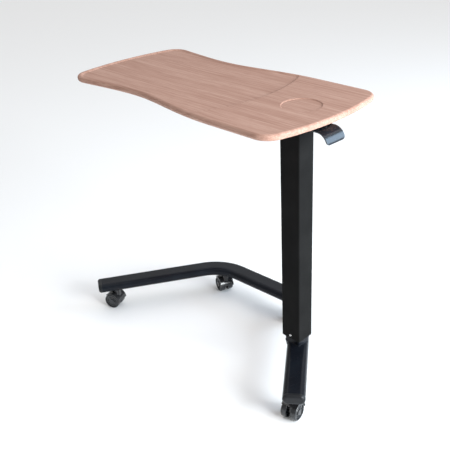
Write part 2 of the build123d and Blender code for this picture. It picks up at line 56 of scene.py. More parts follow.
MM = 0.001
STEEL_DUST = (0.32, 0.31, 0.29)
PLASTIC_DUST = (0.35, 0.34, 0.32)
SMOOTH_ANGLE = radians(35.0)
MERGE_DISTANCE = 0.000001


# ------------------------------------------------------------------ node building

class Socket(Enum):
    """Kinds of socket that the shared node groups use."""

    FLOAT = "NodeSocketFloat"
    COLOUR = "NodeSocketColor"
    VECTOR = "NodeSocketVector"


@dataclass
class Graph:
    """A node tree with short calls for adding and joining nodes.

    Args:
        tree: The node tree that is being built.
    """

    tree: bpy.types.NodeTree

    def add(self, kind: str, **settings: object) -> bpy.types.Node:
        """Add a node.

        Args:
            kind: Blender's name for the node type.
            **settings: Properties of the node, by name.

        Returns:
            The new node.
        """
        node = self.tree.nodes.new(kind)
        for name, value in settings.items():
            setattr(node, name, value)
        return node

    def join(self, source: bpy.types.NodeSocket, target: bpy.types.NodeSocket) -> None:
        """Join an output socket to an input socket."""
        self.tree.links.new(source, target)

    def math(self, operation: str, first: object, second: object = None) -> bpy.types.NodeSocket:
        """Add a Math node.

        Args:
            operation: The node's operation.
            first: Its first value, a number or a socket.
            second: Its second value, a number or a socket, where it has one.

        Returns:
            The node's output socket.
        """
        node = self.add("ShaderNodeMath", operation=operation)
        for index, value in enumerate((first, second)):
            if isinstance(value, bpy.types.NodeSocket):
                self.join(value, node.inputs[index])
            elif value is not None:
                node.inputs[index].default_value = value
        return node.outputs[0]

    def noise(self, vector: bpy.types.NodeSocket, scale: float, detail: float = 4.0,
              roughness: float = 0.5) -> bpy.types.NodeSocket:
        """Add a noise texture.

        Args:
            vector: Where the noise is read.
            scale: Noise cells per metre.
            detail: Number of finer layers.
            roughness: Weight of the finer layers.

        Returns:
            The noise value's socket.
        """
        node = self.add("ShaderNodeTexNoise")
        node.inputs["Scale"].default_value = scale
        node.inputs["Detail"].default_value = detail
        node.inputs["Roughness"].default_value = roughness
        self.join(vector, node.inputs["Vector"])
        return node.outputs[0]

    def stretched(self, vector: bpy.types.NodeSocket,
                  scale: tuple[float, float, float]) -> bpy.types.NodeSocket:
        """Scale a vector by axis, so that a pattern is drawn out along one of them.

        Args:
            vector: The vector's socket.
            scale: Its scale along each axis.

        Returns:
            The scaled vector's socket.
        """
        node = self.add("ShaderNodeMapping")
        node.inputs["Scale"].default_value = scale
        self.join(vector, node.inputs["Vector"])
        return node.outputs[0]

    def ramp(self, value: bpy.types.NodeSocket, stops: list[tuple[float, tuple]]) -> bpy.types.NodeSocket:
        """Turn a value into a colour.

        Args:
            value: The value's socket.
            stops: Position and colour of each stop, from low to high.

        Returns:
            The colour's socket.
        """
        node = self.add("ShaderNodeValToRGB")
        elements = node.color_ramp.elements
        while len(elements) < len(stops):
            elements.new(0.5)
        for element, (position, colour) in zip(elements, stops):
            element.position = position
            element.color = (*colour, 1.0)
        self.join(value, node.inputs[0])
        return node.outputs[0]

    def spread(self, value: bpy.types.NodeSocket, low: float, high: float,
               new_low: float, new_high: float) -> bpy.types.NodeSocket:
        """Map a range of values onto another, held within it.

        Args:
            value: The value's socket.
            low: Where the old range starts.
            high: Where it ends.
            new_low: Where the new range starts.
            new_high: Where it ends.

        Returns:
            The mapped value's socket.
        """
        node = self.add("ShaderNodeMapRange")
        node.inputs["From Min"].default_value = low
        node.inputs["From Max"].default_value = high
        node.inputs["To Min"].default_value = new_low
        node.inputs["To Max"].default_value = new_high
        self.join(value, node.inputs["Value"])
        return node.outputs[0]

    def mix(self, factor: bpy.types.NodeSocket, first: object, second: object,
            blend: str = "MIX") -> bpy.types.NodeSocket:
        """Mix two colours.

        Args:
            factor: Share of the second colour.
            first: A colour or a socket.
            second: A colour or a socket.
            blend: Blend type.

        Returns:
            The mixed colour's socket.
        """
        node = self.add("ShaderNodeMix", data_type="RGBA", blend_type=blend)
        self.join(factor, node.inputs[0])
        for index, value in ((6, first), (7, second)):
            if isinstance(value, bpy.types.NodeSocket):
                self.join(value, node.inputs[index])
            else:
                node.inputs[index].default_value = (*value, 1.0)
        return node.outputs[2]

    def weigh(self, *parts: tuple[bpy.types.NodeSocket, float]) -> bpy.types.NodeSocket:
        """Add values up by weight.

        Args:
            *parts: Each value's socket and its weight.

        Returns:
            The sum's socket.
        """
        total = None
        for value, weight in parts:
            share = self.math("MULTIPLY", value, weight)
            total = share if total is None else self.math("ADD", total, share)
        return total

    def place(self, group: bpy.types.NodeTree, values: dict[str, object]) -> bpy.types.Node:
        """Place a shared group.

        Args:
            group: The group's tree.
            values: Its inputs by name, each a number, a colour or a socket.

        Returns:
            The group's node.
        """
        node = self.add("ShaderNodeGroup", node_tree=group)
        for name, value in values.items():
            if isinstance(value, bpy.types.NodeSocket):
                self.join(value, node.inputs[name])
            else:
                node.inputs[name].default_value = value
        return node


def new_group(name: str, inputs: dict[str, Socket], outputs: dict[str, Socket]) -> tuple:
    """Start a shared node group.

    Args:
        name: The group's name.
        inputs: Its input sockets.
        outputs: Its output sockets.

    Returns:
        The group's tree, its graph, its input node and its output node.
    """
    tree = bpy.data.node_groups.new(name, "ShaderNodeTree")
    for title, kind in inputs.items():
        tree.interface.new_socket(title, in_out="INPUT", socket_type=kind.value)
    for title, kind in outputs.items():
        tree.interface.new_socket(title, in_out="OUTPUT", socket_type=kind.value)
    graph = Graph(tree)
    return tree, graph, graph.add("NodeGroupInput"), graph.add("NodeGroupOutput")


class SharedGroups:
    """The node groups that more than one finish uses, each built once."""

    def __init__(self) -> None:
        """Build every group."""
        self.texture = self.build_texture()
        self.handling = self.build_handling()
        self.dust = self.build_dust()

    def build_texture(self) -> bpy.types.NodeTree:
        """Fine surface texture of a coating or a moulding.

        Returns:
            A group with a position and a scale, giving a height.
        """
        tree, graph, given, result = new_group(
            "fine_texture", {"Position": Socket.VECTOR, "Scale": Socket.FLOAT}, {"Height": Socket.FLOAT})
        scaled = graph.add("ShaderNodeVectorMath", operation="SCALE")
        graph.join(given.outputs["Position"], scaled.inputs[0])
        graph.join(given.outputs["Scale"], scaled.inputs["Scale"])
        coarse = graph.noise(scaled.outputs[0], 1.0, 2.0, 0.6)
        fine = graph.noise(scaled.outputs[0], 2.7, 3.0, 0.6)
        graph.join(graph.weigh((coarse, 0.65), (fine, 0.35)), result.inputs["Height"])
        return tree

    def build_handling(self) -> bpy.types.NodeTree:
        """Uneven gloss left by hands and wiping.

        Returns:
            A group with a position, a roughness and an amount, giving a roughness.
        """
        tree, graph, given, result = new_group(
            "handling",
            {"Position": Socket.VECTOR, "Roughness": Socket.FLOAT, "Amount": Socket.FLOAT},
            {"Roughness": Socket.FLOAT})
        patches = graph.noise(given.outputs["Position"], 9.0, 5.0, 0.62)
        wiped = graph.noise(graph.stretched(given.outputs["Position"], (1.0, 6.0, 1.0)), 22.0, 3.0, 0.5)
        both = graph.weigh((patches, 0.7), (wiped, 0.3))
        swing = graph.math("MULTIPLY", graph.math("SUBTRACT", both, 0.5), given.outputs["Amount"])
        graph.join(graph.math("ADD", given.outputs["Roughness"], swing), result.inputs["Roughness"])
        return tree

    def build_dust(self) -> bpy.types.NodeTree:
        """Thin dust that settles on what faces up.

        Returns:
            A group with a position and an amount, giving a mask.
        """
        tree, graph, given, result = new_group(
            "settled_dust", {"Position": Socket.VECTOR, "Amount": Socket.FLOAT}, {"Mask": Socket.FLOAT})
        facing = graph.add("ShaderNodeSeparateXYZ")
        graph.join(graph.add("ShaderNodeNewGeometry").outputs["Normal"], facing.inputs[0])
        up = graph.spread(facing.outputs["Z"], 0.3, 1.0, 0.0, 1.0)
        specks = graph.noise(given.outputs["Position"], 140.0, 6.0, 0.7)
        speckle = graph.spread(specks, 0.42, 0.75, 0.15, 1.0)
        graph.join(graph.math("MULTIPLY", graph.math("MULTIPLY", up, speckle), given.outputs["Amount"]),
                   result.inputs["Mask"])
        return tree


# ------------------------------------------------------------------ finishes

@dataclass(frozen=True)
class Finish:
    """What every finish has: a name and a Principled surface.

    Args:
        name: The material's name.
    """

    name: str

    def start(self) -> tuple[bpy.types.Material, Graph, bpy.types.Node, bpy.types.NodeSocket]:
        """Make the material.

        Returns:
            The material, its graph, its Principled node and the Object coordinates' socket.
        """
        material = bpy.data.materials.new(self.name)
        material.use_nodes = True
        graph = Graph(material.node_tree)
        shader = material.node_tree.nodes["Principled BSDF"]
        return material, graph, shader, graph.add("ShaderNodeTexCoord").outputs["Object"]

    @staticmethod
    def bump(graph: Graph, shader: bpy.types.Node, height: bpy.types.NodeSocket,
             depth: float, strength: float = 1.0) -> None:
        """Give a surface relief.

        Args:
            graph: The material's graph.
            shader: Its Principled node.
            height: The height's socket, from 0 to 1.
            depth: What a height of 1 measures, in metres.
            strength: Share of the relief that shows.
        """
        node = graph.add("ShaderNodeBump")
        node.inputs["Strength"].default_value = strength
        node.inputs["Distance"].default_value = depth
        graph.join(height, node.inputs["Height"])
        graph.join(node.outputs[0], shader.inputs["Normal"])


@dataclass(frozen=True)
class CoatedSteel(Finish):
    """Powder coat or enamel on steel.

    Args:
        colour: Base colour, linear.
        tint: Colour of its lighter patches, linear.
        roughness: Middle roughness.
        uneven: How much handling changes the roughness.
        grain: Texture cells per metre.
        relief: Depth of the texture, in metres.
        dust: How much dust lies on it.
        shine: The shader's specular level.
    """

    colour: tuple[float, float, float] = (0.02, 0.02, 0.021)
    tint: tuple[float, float, float] = (0.028, 0.028, 0.03)
    roughness: float = 0.45
    uneven: float = 0.2
    grain: float = 900.0
    relief: float = 0.00008
    dust: float = 0.0
    shine: float = 0.3

    def build(self, groups: SharedGroups) -> bpy.types.Material:
        """Build the material.

        Args:
            groups: The shared node groups.

        Returns:
            The material.
        """
        material, graph, shader, place = self.start()
        patches = graph.spread(graph.noise(place, 14.0, 5.0, 0.6), 0.35, 0.65, 0.0, 1.0)
        colour = graph.mix(patches, self.colour, self.tint)
        if self.dust:
            mask = graph.place(groups.dust, {"Position": place, "Amount": self.dust}).outputs["Mask"]
            colour = graph.mix(mask, colour, STEEL_DUST)
        graph.join(colour, shader.inputs["Base Color"])
        rough = graph.place(groups.handling,
                            {"Position": place, "Roughness": self.roughness, "Amount": self.uneven})
        graph.join(rough.outputs["Roughness"], shader.inputs["Roughness"])
        shader.inputs["Specular IOR Level"].default_value = self.shine
        height = graph.place(groups.texture, {"Position": place, "Scale": self.grain}).outputs["Height"]
        self.bump(graph, shader, height, self.relief)
        return material


@dataclass(frozen=True)
class MouldedPlastic(Finish):
    """Moulded nylon or acrylic.

    Args:
        colour: Base colour, linear.
        tint: Colour of its lighter patches, linear.
        roughness: Middle roughness.
        uneven: How much handling changes the roughness.
        grain: Texture cells per metre.
        relief: Depth of the texture, in metres.
        dust: How much dust lies on it.
        shine: The shader's specular level.
    """

    colour: tuple[float, float, float] = (0.012, 0.012, 0.013)
    tint: tuple[float, float, float] = (0.02, 0.02, 0.022)
    roughness: float = 0.28
    uneven: float = 0.25
    grain: float = 1500.0
    relief: float = 0.00003
    dust: float = 0.05
    shine: float = 0.4

    def build(self, groups: SharedGroups) -> bpy.types.Material:
        """Build the material.

        Args:
            groups: The shared node groups.

        Returns:
            The material.
        """
        material, graph, shader, place = self.start()
        flow = graph.noise(graph.stretched(place, (1.0, 1.0, 4.0)), 60.0, 3.0, 0.5)
        colour = graph.mix(graph.spread(flow, 0.3, 0.7, 0.0, 1.0), self.colour, self.tint)
        mask = graph.place(groups.dust, {"Position": place, "Amount": self.dust}).outputs["Mask"]
        graph.join(graph.mix(mask, colour, PLASTIC_DUST), shader.inputs["Base Color"])
        rough = graph.place(groups.handling,
                            {"Position": place, "Roughness": self.roughness, "Amount": self.uneven})
        graph.join(rough.outputs["Roughness"], shader.inputs["Roughness"])
        shader.inputs["Specular IOR Level"].default_value = self.shine
        height = graph.place(groups.texture, {"Position": place, "Scale": self.grain}).outputs["Height"]
        self.bump(graph, shader, height, self.relief)
        return material


@dataclass(frozen=True)
class BareMetal(Finish):
    """Plated, ground or brushed metal.

    Args:
        colour: Base colour, linear.
        dull: Colour of its duller patches, linear.
        roughness: Middle roughness.
        uneven: How much handling changes the roughness.
        brushed: Stretch of the brushing by axis.
        lines: Brush lines per metre.
        relief: Depth of the brushing, in metres.
    """

    colour: tuple[float, float, float] = (0.62, 0.63, 0.65)
    dull: tuple[float, float, float] = (0.45, 0.44, 0.42)
    roughness: float = 0.32
    uneven: float = 0.3
    brushed: tuple[float, float, float] = (1.0, 1.0, 8.0)
    lines: float = 700.0
    relief: float = 0.00001

    def build(self, groups: SharedGroups) -> bpy.types.Material:
        """Build the material.

        Args:
            groups: The shared node groups.

        Returns:
            The material.
        """
        material, graph, shader, place = self.start()
        shader.inputs["Metallic"].default_value = 1.0
        patches = graph.spread(graph.noise(place, 90.0, 6.0, 0.65), 0.45, 0.7, 0.0, 1.0)
        graph.join(graph.mix(patches, self.colour, self.dull), shader.inputs["Base Color"])
        rough = graph.place(groups.handling,
                            {"Position": place, "Roughness": self.roughness, "Amount": self.uneven})
        graph.join(rough.outputs["Roughness"], shader.inputs["Roughness"])
        brushed = graph.stretched(place, self.brushed)
        brush_lines = graph.place(groups.texture, {"Position": brushed, "Scale": self.lines})
        self.bump(graph, shader, brush_lines.outputs["Height"], self.relief)
        return material


@dataclass(frozen=True)
class WoodFoil(Finish):
    """Printed beech-grain foil on the top, its grain along X.

    Args:
        pale: Palest wood, linear.
        middle: Most of the wood, linear.
        deep: Darkest streaks, linear.
        roughness: Middle roughness.
        uneven: How much handling changes the roughness.
        shine: The shader's specular level.
        sway: How far the grain wanders to the side, in metres.
        band_cells: Cells of the broad bands per metre, by axis.
        streak_cells: Cells of the streaks.
        fibre_cells: Cells of the fibres.
        fleck_cells: Cells of the short dark flecks.
        pore_cells: Cells of the pores.
        relief: Depth of the grain, in metres.
    """

    pale: tuple[float, float, float] = (0.505, 0.315, 0.248)
    middle: tuple[float, float, float] = (0.43, 0.248, 0.190)
    deep: tuple[float, float, float] = (0.345, 0.184, 0.135)
    roughness: float = 0.56
    uneven: float = 0.16
    shine: float = 0.28
    sway: float = 0.05
    band_cells: tuple[float, float, float] = (0.9, 22.0, 22.0)
    streak_cells: tuple[float, float, float] = (4.0, 190.0, 190.0)
    fibre_cells: tuple[float, float, float] = (9.0, 460.0, 460.0)
    fleck_cells: tuple[float, float, float] = (30.0, 260.0, 260.0)
    pore_cells: tuple[float, float, float] = (60.0, 1400.0, 1400.0)
    relief: float = 0.00004

    def build(self, groups: SharedGroups) -> bpy.types.Material:
        """Build the material.

        Args:
            groups: The shared node groups.

        Returns:
            The material.
        """
        material, graph, shader, place = self.start()
        drift = graph.noise(graph.stretched(place, (1.2, 5.0, 5.0)), 1.0, 2.0, 0.5)
        bend = graph.add("ShaderNodeCombineXYZ")
        graph.join(graph.math("MULTIPLY", graph.math("SUBTRACT", drift, 0.5), self.sway), bend.inputs[1])
        bent = graph.add("ShaderNodeVectorMath", operation="ADD")
        graph.join(place, bent.inputs[0])
        graph.join(bend.outputs[0], bent.inputs[1])
        flow = bent.outputs[0]
        bands = graph.noise(graph.stretched(flow, self.band_cells), 1.0, 3.0, 0.55)
        streaks = graph.noise(graph.stretched(flow, self.streak_cells), 1.0, 4.0, 0.6)
        pores = graph.noise(graph.stretched(flow, self.pore_cells), 1.0, 2.0, 0.6)
        fibres = graph.noise(graph.stretched(flow, self.fibre_cells), 1.0, 3.0, 0.6)
        tone = graph.weigh((bands, 0.2), (streaks, 0.4), (fibres, 0.4))
        colour = graph.ramp(tone, [(0.40, self.deep), (0.50, self.middle), (0.60, self.pale)])
        flecks = graph.noise(graph.stretched(flow, self.fleck_cells), 1.0, 1.5, 0.4)
        colour = graph.mix(graph.spread(flecks, 0.56, 0.72, 0.0, 0.45), colour, self.deep)
        pits = graph.spread(pores, 0.56, 0.72, 0.0, 0.25)
        graph.join(graph.mix(pits, colour, self.deep), shader.inputs["Base Color"])
        rough = graph.place(groups.handling,
                            {"Position": place, "Roughness": self.roughness, "Amount": self.uneven})
        graph.join(rough.outputs["Roughness"], shader.inputs["Roughness"])
        shader.inputs["Specular IOR Level"].default_value = self.shine
        self.bump(graph, shader, graph.math("ADD", pores, graph.math("MULTIPLY", streaks, 0.5)), self.relief)
        return material


class Finishes:
    """Every finish of the table, by the record's material slot."""

    def __init__(self) -> None:
        """Build the shared groups and the materials."""
        groups = SharedGroups()
        finishes = (
            WoodFoil("woodgrain_top"),
            CoatedSteel("column_paint", colour=(0.006, 0.006, 0.006), tint=(0.009, 0.009, 0.009),
                        roughness=0.6, grain=1100.0, relief=0.00012, shine=0.05),
            CoatedSteel("base_paint", colour=(0.005, 0.006, 0.009), tint=(0.007, 0.009, 0.013),
                        roughness=0.26, uneven=0.07, grain=700.0, relief=0.00003, dust=0.003, shine=0.16),
            CoatedSteel("lever_paint", colour=(0.005, 0.008, 0.012), tint=(0.007, 0.011, 0.017),
                        roughness=0.2, uneven=0.08, grain=500.0, relief=0.00002, shine=0.6),
            CoatedSteel("cylinder_paint", roughness=0.3),
            MouldedPlastic("black_plastic", colour=(0.008, 0.009, 0.011), tint=(0.012, 0.013, 0.015),
                           roughness=0.3, dust=0.004, shine=0.25),
            MouldedPlastic("caster_plastic", roughness=0.14, uneven=0.08, dust=0.01, shine=0.6),
            MouldedPlastic("wheel_plastic", colour=(0.014, 0.015, 0.017), tint=(0.02, 0.022, 0.025),
                           roughness=0.15, uneven=0.1, dust=0.02, shine=0.6),
            MouldedPlastic("glide_nylon", roughness=0.5, dust=0.0),
            BareMetal("zinc_steel"),
            BareMetal("bright_screw", colour=(0.85, 0.85, 0.86), dull=(0.7, 0.7, 0.7), roughness=0.15),
            BareMetal("rod_chrome", colour=(0.8, 0.8, 0.82), dull=(0.72, 0.72, 0.74), roughness=0.1),
        )
        self.materials = {finish.name: finish.build(groups) for finish in finishes}

    def dress_frame(self) -> None:
        """Give every CAD node the finish of its slot."""
        for entry in frame["record"]["subparts"]:
            node = frame["nodes"][entry["node"]]
            node.data.materials.clear()
            node.data.materials.append(self.materials[entry["material_slot"]])


# ------------------------------------------------------------------ studio

@dataclass
class Studio:
    """Floor, lights, surroundings and camera.

    Args:
        floor_half: Half of the floor's side, in metres.
        floor_colour: Linear colour of the floor.
        world_strength: Strength of the even light from all round.
        key_place: The low light at the column's end, from the foot of the column, in metres.
        key_side: Its side, in metres.
        key_power: Its power, in watts.
        window_place: The light behind the column's end, from the foot of the column, in metres.
        window_side: Its side, in metres.
        window_power: Its power, in watts.
        top_place: The way of the wide light from above, from the foot of the column.
        top_strength: Its strength, in watts per square metre.
        top_width: Its width, in degrees.
        daylight: Linear colour of the key light.
        window_colour: Linear colour of the window light.
        aim: Where the lights point, from the foot of the column, in metres.
        camera_azimuth: Degrees from looking along +Y, anticlockwise.
        camera_pitch: Degrees down.
        camera_roll: Degrees, the frame's right-hand side tipped down.
        camera_place: The camera from the foot of the column, in metres.
        camera_lens: Focal length, in millimetres.
        sensor_width: Width of the sensor, in millimetres.
        camera_shift: Lens shift across and up, in sensor widths.
    """

    floor_half: float = 12.0
    floor_colour: tuple[float, float, float] = (0.90, 0.90, 0.90)
    world_strength: float = 0.42
    key_place: tuple[float, float, float] = (3.0, 0.35, 1.3)
    key_side: float = 1.9
    key_power: float = 215.0
    window_place: tuple[float, float, float] = (1.75, 2.5, 1.5)
    window_side: float = 1.7
    window_power: float = 60.0
    top_place: tuple[float, float, float] = (-0.4, 0.8, 3.6)
    top_strength: float = 1.3
    top_width: float = 95.0
    daylight: tuple[float, float, float] = (0.92, 0.97, 1.0)
    window_colour: tuple[float, float, float] = (0.60, 0.79, 1.0)
    aim: Vector = field(default_factory=lambda: Vector((-0.1, 0.0, 0.55)))
    camera_azimuth: float = 45.322
    camera_pitch: float = 29.321
    camera_roll: float = 2.12
    camera_place: tuple[float, float, float] = (1.0394, -1.1917, 1.3014)
    camera_lens: float = 55.83
    sensor_width: float = 36.0
    camera_shift: tuple[float, float] = (-0.0598, 0.0402)

    def column_foot(self) -> Vector:
        """Point on the floor under the column's axis."""
        low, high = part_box("outer_column")
        return Vector(((low.x + high.x) / 2, (low.y + high.y) / 2, 0.0))

    def build_camera(self) -> None:
        """Set the camera at the viewing angle."""
        turn = radians(self.camera_azimuth)
        dip = radians(self.camera_pitch)
        roll = radians(self.camera_roll)
        level_right = Vector((cos(turn), sin(turn), 0.0))
        down = Vector((sin(turn) * sin(dip), -cos(turn) * sin(dip), -cos(dip)))
        ahead = Vector((-sin(turn) * cos(dip), cos(turn) * cos(dip), -sin(dip)))
        right = level_right * cos(roll) + down * sin(roll)
        up = level_right * sin(roll) - down * cos(roll)
        data = bpy.data.cameras.new("camera")
        data.lens = self.camera_lens
        data.sensor_width = self.sensor_width
        data.shift_x, data.shift_y = self.camera_shift
        camera = bpy.data.objects.new("camera", data)
        turned = Matrix((right, up, -ahead)).transposed().to_4x4()
        camera.matrix_world = Matrix.Translation(self.column_foot() + Vector(self.camera_place)) @ turned
        bpy.context.scene.collection.objects.link(camera)
        bpy.context.scene.camera = camera

    def hang(self, data: bpy.types.Light, place: Vector) -> None:
        """Hang a light so that it faces the middle of the table.

        Args:
            data: The light.
            place: Where it hangs, from the foot of the column.
        """
        light = bpy.data.objects.new(data.name, data)
        light.location = self.column_foot() + place
        light.rotation_euler = (self.aim - place).to_track_quat("-Z", "Y").to_euler()
        bpy.context.scene.collection.objects.link(light)

    def add_panel(self, name: str, place: Vector, side: float, power: float,
                  colour: tuple[float, float, float]) -> None:
        """Add a square soft light.

        Args:
            name: The light's name.
            place: Where it hangs, from the foot of the column.
            side: Its side, in metres.
            power: Its power, in watts.
            colour: Its linear colour.
        """
        data = bpy.data.lights.new(name, "AREA")
        data.shape = "SQUARE"
        data.size = side
        data.energy = power
        data.color = colour
        self.hang(data, place)

    def build_lights(self) -> None:
        """Hang the soft lights and set the surroundings."""
        self.add_panel("key_light", Vector(self.key_place), self.key_side, self.key_power, self.daylight)
        self.add_panel("window_light", Vector(self.window_place), self.window_side, self.window_power,
                       self.window_colour)
        sky = bpy.data.lights.new("top_light", "SUN")
        sky.angle = radians(self.top_width)
        sky.energy = self.top_strength
        self.hang(sky, Vector(self.top_place))
        world = bpy.data.worlds.new("studio")
        world.use_nodes = True
        background = world.node_tree.nodes["Background"]
        background.inputs["Color"].default_value = (1.0, 1.0, 1.0, 1.0)
        background.inputs["Strength"].default_value = self.world_strength
        bpy.context.scene.world = world
        bpy.context.scene.view_settings.view_transform = "Standard"

    def build_floor(self) -> None:
        """Lay the plain pale floor."""
        shape = bmesh.new()
        bmesh.ops.create_grid(shape, x_segments=1, y_segments=1, size=self.floor_half)
        mesh = bpy.data.meshes.new("floor")
        shape.to_mesh(mesh)
        shape.free()
        floor = bpy.data.objects.new("floor", mesh)
        bpy.context.scene.collection.objects.link(floor)
        material = bpy.data.materials.new("floor_paper")
        material.use_nodes = True
        shader = material.node_tree.nodes["Principled BSDF"]
        shader.inputs["Base Color"].default_value = (*self.floor_colour, 1.0)
        shader.inputs["Roughness"].default_value = 0.9
        floor.data.materials.append(material)

    def build(self) -> None:
        """Build the whole studio."""
        self.build_camera()
        self.build_lights()
        self.build_floor()


# ------------------------------------------------------------------ fine pieces

class Route(Enum):
    """Whether a weld closes on itself."""

    CLOSED = True
    OPEN = False


def finish_piece(name: str, shape: bmesh.types.BMesh, body: str, slot: str,
                 finishes: Finishes) -> bpy.types.Object:
    """Turn a bmesh into a smooth-shaded piece that rides on a body.

    Args:
        name: The piece's name.
        shape: Its bmesh, which is freed.
        body: The body it rides on.
        slot: Its material slot.
        finishes: The finishes.

    Returns:
        The piece.
    """
    bmesh.ops.remove_doubles(shape, verts=shape.verts, dist=MERGE_DISTANCE)
    bmesh.ops.recalc_face_normals(shape, faces=shape.faces)
    mesh = bpy.data.meshes.new(name)
    shape.to_mesh(mesh)
    shape.free()
    mesh.shade_smooth()
    mesh.set_sharp_from_angle(angle=SMOOTH_ANGLE)
    piece = bpy.data.objects.new(name, mesh)
    bpy.context.scene.collection.objects.link(piece)
    mesh.materials.append(finishes.materials[slot])
    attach(piece, body)
    log.info("%s: %d faces on %s", name, len(mesh.polygons), body)
    return piece


def spin_profile(shape: bmesh.types.BMesh, outline: list[tuple[float, float]], steps: int) -> list:
    """Turn an outline of radius and height about Z.

    Args:
        shape: The bmesh that gets the result.
        outline: Radius and height of each corner, in metres.
        steps: Number of steps in the turn.

    Returns:
        The new vertices.
    """
    before = set(shape.verts)
    corners = [shape.verts.new((radius, 0.0, height)) for radius, height in outline]
    edges = [shape.edges.new(pair) for pair in zip(corners, corners[1:])]
    bmesh.ops.spin(shape, geom=corners + edges, cent=(0, 0, 0), axis=(0, 0, 1), angle=2 * pi,
                   steps=steps, use_merge=True)
    bmesh.ops.remove_doubles(shape, verts=shape.verts, dist=MERGE_DISTANCE)
    return [vertex for vertex in shape.verts if vertex not in before]


def facing(direction: Vector, place: Vector) -> Matrix:
    """Matrix that turns +Z to a direction and moves the origin to a place."""
    return Matrix.Translation(place) @ direction.to_track_quat("Z", "Y").to_matrix().to_4x4()


@dataclass
class WheelFaces:
    """Raised ring and spokes in the dish of each caster wheel's outer face.

    Args:
        dish_depth: Depth of the dish.
        hub_radius: Radius of the hub in its middle.
        spoke_reach: Radius at which the spokes end.
        ring_radius: Middle radius of the ring.
        ring_half: Half of the ring's width.
        ring_height: Height of the ring over the dish.
        spoke_width: Width of a spoke.
        spoke_height: Height of a spoke over the dish.
        spokes: Number of spokes.
        ease: Rounding of the upper edges.
        root: How far the ring and spokes go into the dish's floor.
    """

    dish_depth: float = 2.2 * MM
    hub_radius: float = 8.3 * MM
    spoke_reach: float = 20.2 * MM
    ring_radius: float = 14.2 * MM
    ring_half: float = 0.8 * MM
    ring_height: float = 1.1 * MM
    spoke_width: float = 1.5 * MM
    spoke_height: float = 1.3 * MM
    spokes: int = 6
    ease: float = 0.3 * MM
    root: float = 0.1 * MM

    def ring(self, shape: bmesh.types.BMesh) -> None:
        """Add the ring, its upper edges eased.

        Args:
            shape: The bmesh that gets it.
        """
        inner, outer = self.ring_radius - self.ring_half, self.ring_radius + self.ring_half
        shoulder = self.ring_height - self.ease
        spin_profile(shape, [
            (inner, -self.root), (inner, shoulder), (inner + self.ease, self.ring_height),
            (outer - self.ease, self.ring_height), (outer, shoulder), (outer, -self.root),
            (inner, -self.root)], 64)

    def spoke(self, shape: bmesh.types.BMesh, turn: float) -> None:
        """Add one spoke.

        Args:
            shape: The bmesh that gets it.
            turn: Its direction, in radians.
        """
        length = self.spoke_reach - self.hub_radius
        made = bmesh.ops.create_cube(shape, size=1.0)["verts"]
        bmesh.ops.scale(shape, verts=made, vec=(length, self.spoke_width, self.spoke_height + self.root))
        middle = (self.hub_radius + length / 2, 0.0, (self.spoke_height - self.root) / 2)
        bmesh.ops.translate(shape, verts=made, vec=middle)
        bmesh.ops.rotate(shape, verts=made, cent=(0, 0, 0), matrix=Matrix.Rotation(turn, 3, "Z"))
        rims = [edge for edge in {edge for vertex in made for edge in vertex.link_edges}
                if all(vertex.co.z > 0 for vertex in edge.verts)]
        bmesh.ops.bevel(shape, geom=rims, offset=self.ease, affect="EDGES", segments=2, profile=0.5,
                        material=-1)

    def build(self, finishes: Finishes) -> None:
        """Build the faces of every wheel.

        Args:
            finishes: The finishes.
        """
        for joint in frame["record"]["behaviour"]["joints"]:
            if "_roll_" not in joint["name"]:
                continue
            wheel = joint["child"]
            middle, axis = Vector(joint["pos_m"]), Vector(joint["axis"]).normalized()
            low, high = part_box(wheel)
            if ((low + high) / 2 - middle).dot(axis) < 0:
                axis = -axis
            mesh = frame["nodes"][wheel].data
            face = max((vertex.co - middle).dot(axis) for vertex in mesh.vertices)
            shape = bmesh.new()
            self.ring(shape)
            for index in range(self.spokes):
                self.spoke(shape, 2 * pi * index / self.spokes)
            place = middle + axis * (face - self.dish_depth)
            bmesh.ops.transform(shape, matrix=facing(axis, place), verts=shape.verts)
            finish_piece(wheel + "_face", shape, wheel, "wheel_plastic", finishes)


@dataclass
class ScrewHead:
    """Pan head with a cross recess, on a plain shank.

    Args:
        head_radius: Radius of the head.
        head_height: Height of the head.
        shank_radius: Radius of the shank.
        cross_length: Length of each arm of the recess, tip to tip.
        cross_width: Width of its arms.
        cross_depth: Its depth.
    """

    head_radius: float
    head_height: float
    shank_radius: float
    cross_length: float
    cross_width: float
    cross_depth: float

    def add(self, shape: bmesh.types.BMesh, cutter: bmesh.types.BMesh, outward: Vector, top: Vector,
            length: float) -> None:
        """Add one screw and the cross that is cut into it.

        Args:
            shape: The bmesh that gets the screw.
            cutter: The bmesh that gets the cross.
            outward: The way its head faces.
            top: The middle of the head's top.
            length: Its whole length.
        """
        radius, height = self.head_radius, self.head_height
        made = spin_profile(shape, [
            (0.0, 0.0), (radius * 0.5, -height * 0.05), (radius * 0.8, -height * 0.2),
            (radius * 0.95, -height * 0.45), (radius, -height * 0.75), (radius, -height),
            (self.shank_radius, -height),
            (self.shank_radius, -length + self.shank_radius), (0.0, -length)], 40)
        bmesh.ops.transform(shape, matrix=facing(outward, top), verts=made)
        for size in ((self.cross_length, self.cross_width), (self.cross_width, self.cross_length)):
            arm = bmesh.ops.create_cube(cutter, size=1.0)["verts"]
            bmesh.ops.scale(cutter, verts=arm, vec=(*size, 2 * self.cross_depth))
            bmesh.ops.transform(cutter, matrix=facing(outward, top), verts=arm)


